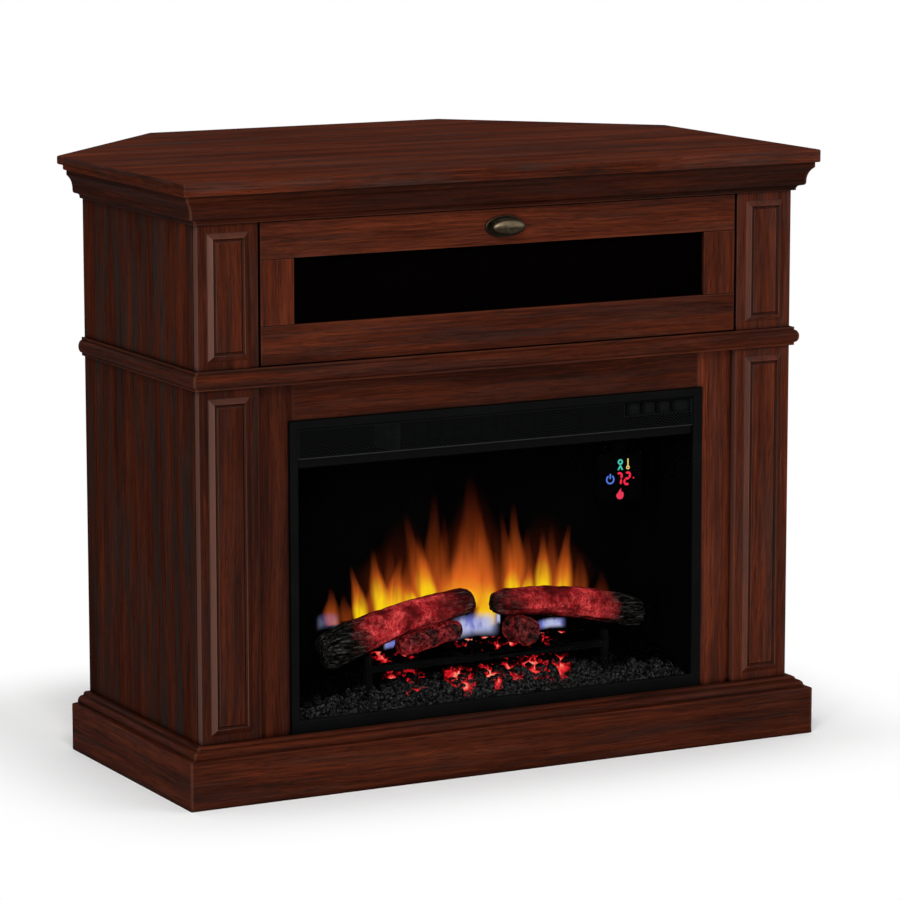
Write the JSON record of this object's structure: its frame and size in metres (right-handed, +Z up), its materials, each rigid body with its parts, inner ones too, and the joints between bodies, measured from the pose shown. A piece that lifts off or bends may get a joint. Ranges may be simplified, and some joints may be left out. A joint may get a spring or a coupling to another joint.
{
  "type": "corner electric fireplace cabinet",
  "caption": "Cherry corner fireplace cabinet with raised-panel pilasters, an electric firebox with logs, a drop-front media door and a wide top with a corner wedge.",
  "frame": {"origin": "middle of the footprint, on the floor", "axes": "+Z up, -Y towards the front of the cabinet, +X to the viewer's right when facing the front"},
  "size_m": [1.116, 0.773, 0.957],
  "materials": {
    "cherry_wood": "dark cherry stain with grey-black grain streaks under satin lacquer",
    "stained_board": "stained board edge, flat lacquer",
    "raw_board": "plain brown fibreboard",
    "zinc_steel": "zinc plated pressed steel",
    "sheet_steel": "galvanised sheet steel",
    "aluminium": "mill aluminium extrusion",
    "bright_foil": "bright reflecting foil",
    "black_metal": "satin black powder coat",
    "black_plastic": "moulded black plastic, fine texture",
    "display_black": "gloss black display face with lit symbols",
    "firebox_glass": "clear toughened glass with a black painted top band",
    "dark_glass": "dark tinted glass",
    "smoked_screen": "smoked acrylic that shows the moving flame light",
    "antique_brass": "antique brass, darkened in the hollows",
    "grate_iron": "flat black cast bars",
    "log_resin": "moulded resin log, grey bark and charred ends with a glow",
    "ember_resin": "moulded translucent coals lit from below, grey ash on top"
  },
  "bodies": {
    "cabinet": {"top_slab": "cherry_wood", "corner_wedge": "cherry_wood", "wedge_gusset_left": "stained_board", "wedge_gusset_right": "stained_board", "crown_front": "cherry_wood", "crown_left": "cherry_wood", "crown_right": "cherry_wood", "waist_front": "cherry_wood", "waist_left": "cherry_wood", "waist_right": "cherry_wood", "plinth_front": "cherry_wood", "plinth_left": "cherry_wood", "plinth_right": "cherry_wood", "side_panel_left": "cherry_wood", "side_panel_right": "cherry_wood", "pilaster_left": "cherry_wood", "pilaster_right": "cherry_wood", "surround_stile_left": "cherry_wood", "surround_stile_right": "cherry_wood", "surround_rail": "cherry_wood", "bottom_rail": "cherry_wood", "base_panel": "raw_board", "media_shelf": "cherry_wood", "head_rail": "cherry_wood", "back_panel": "raw_board", "corner_brace_left": "zinc_steel", "corner_brace_right": "zinc_steel", "hinge_arm_left": "zinc_steel", "hinge_arm_right": "zinc_steel", "stay_bracket": "zinc_steel", "insert_frame": "black_metal", "insert_glass": "firebox_glass", "heater_grille": "black_metal", "insert_housing": "sheet_steel", "cord_gland": "black_plastic", "flame_screen": "smoked_screen", "rotor_motor": "sheet_steel", "light_bar": "aluminium", "display_panel": "display_black", "ember_bed": "ember_resin", "log_left": "log_resin", "log_right": "log_resin", "grate": "grate_iron", "heater_unit": "sheet_steel"},
    "media_door": {"door_top_rail": "cherry_wood", "door_bottom_rail": "cherry_wood", "door_stile_left": "cherry_wood", "door_stile_right": "cherry_wood", "door_glass": "dark_glass", "door_knob": "antique_brass", "hinge_cup_left": "zinc_steel", "hinge_cup_right": "zinc_steel", "stay_door_bracket": "zinc_steel"},
    "lid_stay": {"stay_arm": "zinc_steel"},
    "flame_rotor": {"flame_rotor": "bright_foil"},
    "blower": {"blower_wheel": "black_plastic"},
    "control_button_1": {"control_button_1": "black_plastic"},
    "control_button_2": {"control_button_2": "black_plastic"},
    "control_button_3": {"control_button_3": "black_plastic"},
    "control_button_4": {"control_button_4": "black_plastic"}
  },
  "joints": [
    {"name": "media_door_drop", "type": "hinge", "parent": "cabinet", "child": "media_door", "pos_m": [0, -0.3525, 0.6705], "axis": [1, 0, 0], "range_deg": [0, 90]},
    {"name": "lid_stay_turn", "type": "hinge", "parent": "media_door", "child": "lid_stay", "pos_m": [0.414, -0.3225, 0.7905], "axis": [1, 0, 0], "range_deg": [-46.4, 0]},
    {"name": "flame_rotor_spin", "type": "hinge", "parent": "cabinet", "child": "flame_rotor", "pos_m": [0, -0.1992, 0.1358], "axis": [1, 0, 0], "continuous": true},
    {"name": "blower_spin", "type": "hinge", "parent": "cabinet", "child": "blower", "pos_m": [0, -0.2379, 0.537], "axis": [1, 0, 0], "continuous": true},
    {"name": "control_button_1_press", "type": "slide", "parent": "cabinet", "child": "control_button_1", "axis": [0, 1, 0], "range_m": [0, 0.0015], "stiffness_N_per_m": 300},
    {"name": "control_button_2_press", "type": "slide", "parent": "cabinet", "child": "control_button_2", "axis": [0, 1, 0], "range_m": [0, 0.0015], "stiffness_N_per_m": 300},
    {"name": "control_button_3_press", "type": "slide", "parent": "cabinet", "child": "control_button_3", "axis": [0, 1, 0], "range_m": [0, 0.0015], "stiffness_N_per_m": 300},
    {"name": "control_button_4_press", "type": "slide", "parent": "cabinet", "child": "control_button_4", "axis": [0, 1, 0], "range_m": [0, 0.0015], "stiffness_N_per_m": 300}
  ],
  "couplings": [
    {"joint": "lid_stay_turn", "follows": "media_door_drop", "ratio": -0.5143}
  ]
}
